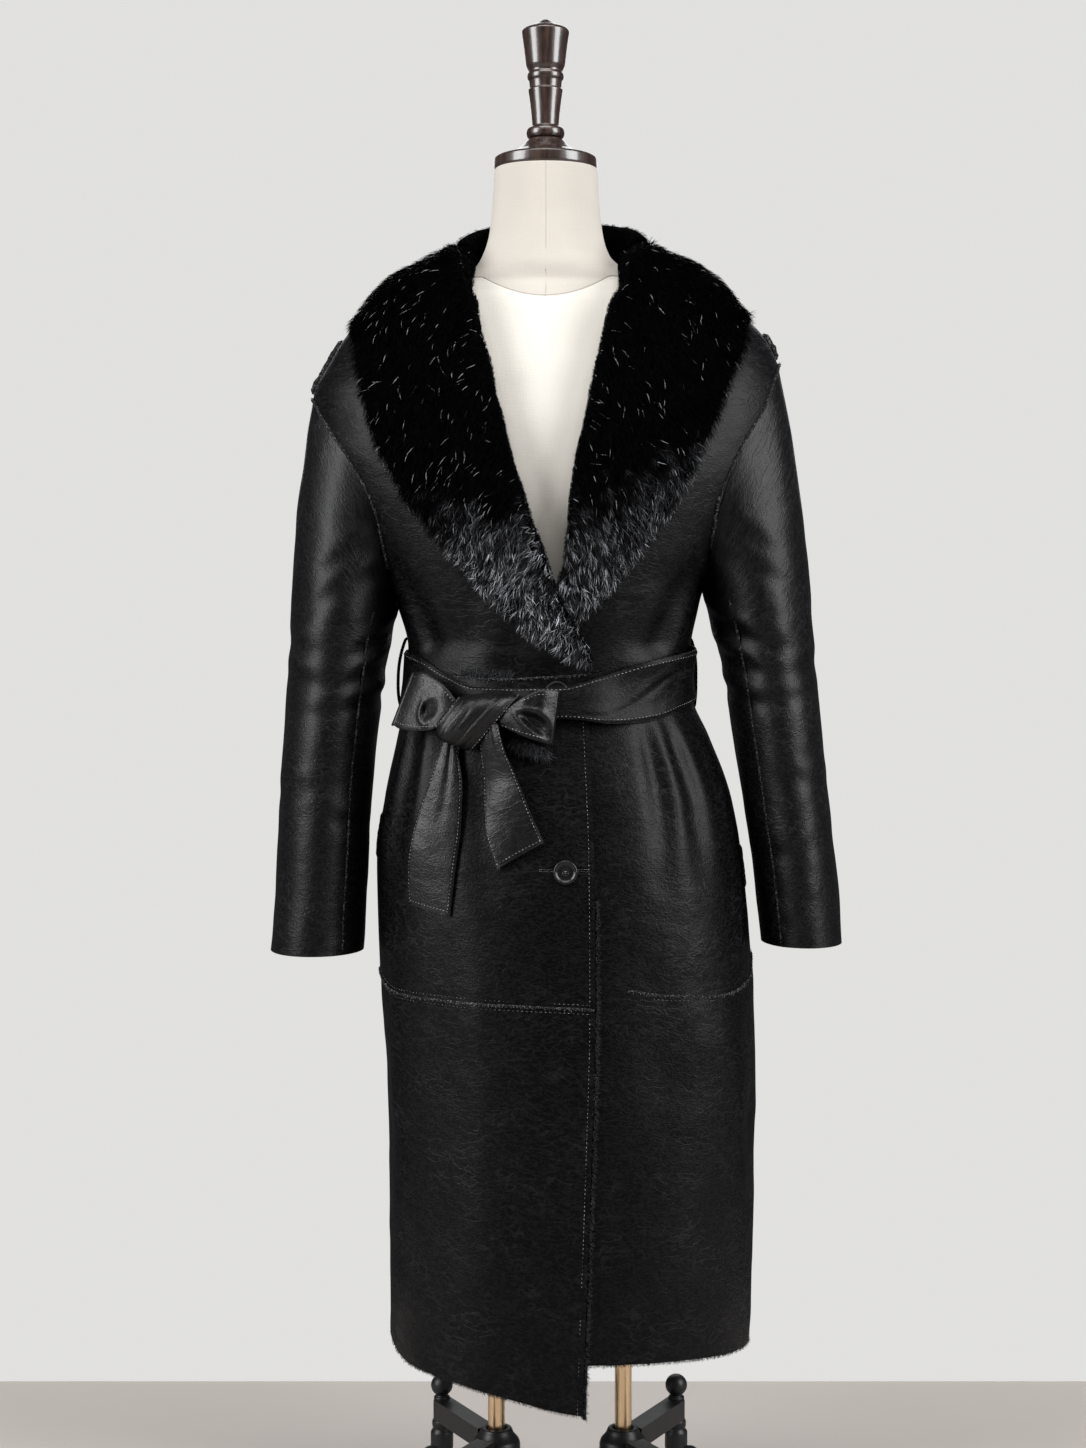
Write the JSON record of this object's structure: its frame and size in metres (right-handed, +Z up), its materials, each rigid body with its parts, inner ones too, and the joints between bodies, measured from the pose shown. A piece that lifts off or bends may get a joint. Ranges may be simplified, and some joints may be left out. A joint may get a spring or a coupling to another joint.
{
  "type": "faux fur collar coat on dress form",
  "caption": "Long belted faux leather coat with a wide faux fur shawl collar, worn by a limbless dress form on a two-pole stand.",
  "frame": {"origin": "on the floor under the middle of the whole, coat and stand", "axes": "+Z up along the poles, front towards -Y, the wearer's left towards +X"},
  "size_m": [0.569, 0.3002, 1.5236],
  "materials": {
    "leather": "soft black faux leather, fine wrinkled grain, semi-matt",
    "fur": "deep black faux fur, pile about 13 mm",
    "raw_edge": "raw cut edge with short grey-black pile",
    "linen": "cream linen, plain weave",
    "dark_wood": "dark brown lacquer",
    "brass": "satin rose brass",
    "black_metal": "black satin enamel",
    "horn": "black, raised rim, satin"
  },
  "bodies": {
    "root": {"front_bodice_right": "leather", "front_bodice_left": "leather", "back_bodice": "leather", "hip_panel_right": "leather", "hip_panel_left": "leather", "hip_panel_back": "leather", "skirt_right": "leather", "skirt_left": "leather", "skirt_back": "leather", "sleeve_right": "leather", "sleeve_left": "leather", "belt_carrier_right": "leather", "belt_carrier_left": "leather", "belt_bow_right": "leather", "belt_bow_left": "leather", "belt_tail_right": "leather", "belt_tail_left": "leather", "belt_band": "leather", "belt_knot": "leather", "collar_right": "fur", "collar_left": "fur", "front_fringe": "fur", "shoulder_edge_right": "raw_edge", "shoulder_edge_left": "raw_edge", "armhole_edge_right": "raw_edge", "armhole_edge_left": "raw_edge", "pocket_edge_right": "raw_edge", "pocket_edge_left": "raw_edge", "waist_edge": "raw_edge", "hip_edge_right": "raw_edge", "hip_edge_left": "raw_edge", "hip_edge_back": "raw_edge", "dress_form": "linen", "neck_cap": "dark_wood", "finial": "dark_wood", "pole_right": "brass", "pole_left": "brass", "pole_socket_right": "black_metal", "pole_socket_left": "black_metal", "arm_front_right": "black_metal", "arm_front_left": "black_metal", "arm_back_right": "black_metal", "arm_back_left": "black_metal", "foot_front_right": "black_metal", "foot_front_left": "black_metal", "foot_back_right": "black_metal", "foot_back_left": "black_metal", "cross_bar": "black_metal", "button_upper": "horn", "button_lower": "horn"}
  },
  "joints": []
}
